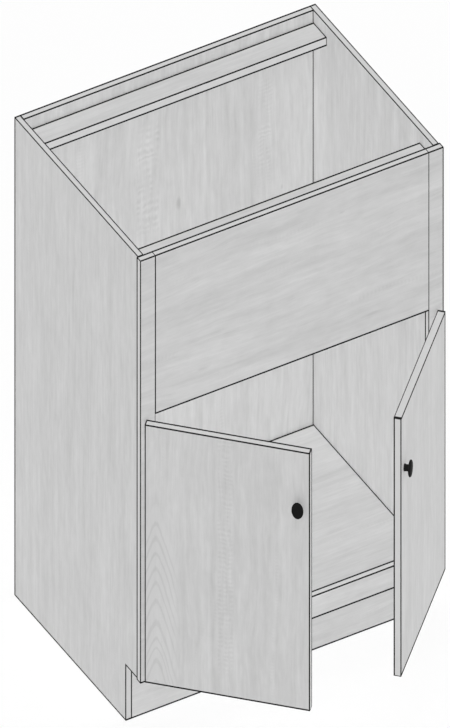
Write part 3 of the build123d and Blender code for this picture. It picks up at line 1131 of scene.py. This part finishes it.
def studio_floor(stage):
    """A pale floor that looks white, keeps the shadow and throws back less light than it shows."""
    bpy.ops.object.select_all(action="DESELECT")
    bpy.ops.mesh.primitive_plane_add(size=FLOOR_SIZE)
    floor = bpy.context.object
    floor.name = floor.data.name = "studio_floor"
    surface = Surface("studio_floor")
    dust = surface.even_noise(3, 4.0)
    mean = stage.floor_colour
    pale = surface.blend(dust + 0.5, colour(mean, 0.995), colour(mean, 1.005))
    seen = seen_directly(surface)
    paint = surface.blend(seen, colour((stage.floor_return,) * 3), pale)
    paint = surface.node("BsdfDiffuse", values={"Color": paint})
    glow = surface.node("Emission", values={"Color": WHITE, "Strength": FLOOR_GLOW})
    glow_share = seen * FLOOR_GLOW_SHARE
    mixed = surface.node("MixShader", values={0: glow_share, 1: paint, 2: glow})
    floor.data.materials.append(surface.close(mixed))


def studio_light(stage):
    """Even light: a white surround, and five soft lamps that together light every face alike."""
    surface = Surface("studio_surround", world=True)
    strength = seen_directly(surface) * (1 - stage.ambient) + stage.ambient
    light = surface.node("Background", values={"Color": WHITE, "Strength": strength})
    bpy.context.scene.world = surface.close(light)
    lamp("top_lamp", (0, 0, 0), (TOP_LEVEL - stage.ambient) * math.pi)
    level = SIDE_LEVEL - (stage.ambient + stage.floor_return) * HALF_SEEN
    for number, part in enumerate(SIDE_LAMP_SHARES):
        turn = math.radians(SIDE_LAMP_TURN + 90 * number)
        energy = level * part * math.pi / SIDE_LAMP_REACH
        lamp(f"side_lamp_{number + 1}", (math.pi / 2, 0, turn), energy)


def lamp(name, turn, energy):
    """A broad lamp far off, whose light reaches into the corners too."""
    bpy.ops.object.light_add(type="SUN", location=(0, 0, 3), rotation=turn)
    light = bpy.context.object
    light.name = light.data.name = name
    light.data.energy = energy
    light.data.angle = LAMP_SPREAD
    light.data.use_shadow = False


def studio_camera(stage):
    """A parallel view from the front left and above, with its upward axis drawn longer."""
    level, rise = math.cos(VIEW_RISE), math.sin(VIEW_RISE)
    back = Vector((math.sin(VIEW_TURN) * level, -math.cos(VIEW_TURN) * level, rise))
    right = Vector((0, 0, 1)).cross(back).normalized()
    up = back.cross(right).normalized()
    aside, above, away = VIEW_SHIFT
    centre = VIEW_CENTRE + right * aside + up * above + back * away
    plain = Matrix((right, up, back)).transposed().to_4x4()
    plain.translation = centre
    lean = math.sqrt(1 - 1 / VIEW_STRETCH**2)
    leant = Matrix((right, up / VIEW_STRETCH + back * lean, back)).transposed().to_4x4()
    leant.translation = centre
    bpy.ops.object.empty_add(location=(0, 0, 0))
    rig = bpy.context.object
    rig.name = "camera_rig"
    bpy.ops.object.camera_add()
    camera = bpy.context.object
    camera.name = camera.data.name = "camera"
    camera.data.type = "ORTHO"
    camera.data.ortho_scale = stage.view_height
    camera.data.clip_end = 50
    camera.matrix_world = plain
    camera.parent = rig
    camera.matrix_parent_inverse = leant @ plain.inverted()
    bpy.context.scene.camera = camera


OPERATORS = (
    CABINET_OT_side_panels,
    CABINET_OT_inner_panels,
    CABINET_OT_stretchers,
    CABINET_OT_face_frame,
    CABINET_OT_doors,
    CABINET_OT_knobs,
    CABINET_OT_hinges,
    CABINET_OT_dowels,
    CABINET_OT_studio,
)


class CABINET_PT_pieces(bpy.types.Panel):
    """Lists the cabinet's pieces and their finishes"""

    bl_idname = "CABINET_PT_pieces"
    bl_label = "Sink base cabinet"
    bl_space_type = "VIEW_3D"
    bl_region_type = "UI"
    bl_category = "Cabinet"

    def draw(self, context):
        column = self.layout.column()
        for operator in OPERATORS:
            column.operator(operator.bl_idname)
        for group in (context.scene.cabinet_finish, context.scene.cabinet_stage):
            for name in group.__annotations__:
                column.prop(group, name)


CLASSES = (CabinetFinish, CabinetStage, *OPERATORS, CABINET_PT_pieces)


def register():
    for made in CLASSES:
        bpy.utils.register_class(made)
    bpy.types.Scene.cabinet_finish = PointerProperty(type=CabinetFinish)
    bpy.types.Scene.cabinet_stage = PointerProperty(type=CabinetStage)


def unregister():
    del bpy.types.Scene.cabinet_stage
    del bpy.types.Scene.cabinet_finish
    for made in reversed(CLASSES):
        bpy.utils.unregister_class(made)


def main():
    register()
    for operator in OPERATORS:
        group, name = operator.bl_idname.split(".")
        getattr(getattr(bpy.ops, group), name)()


if __name__ == "__main__":
    main()
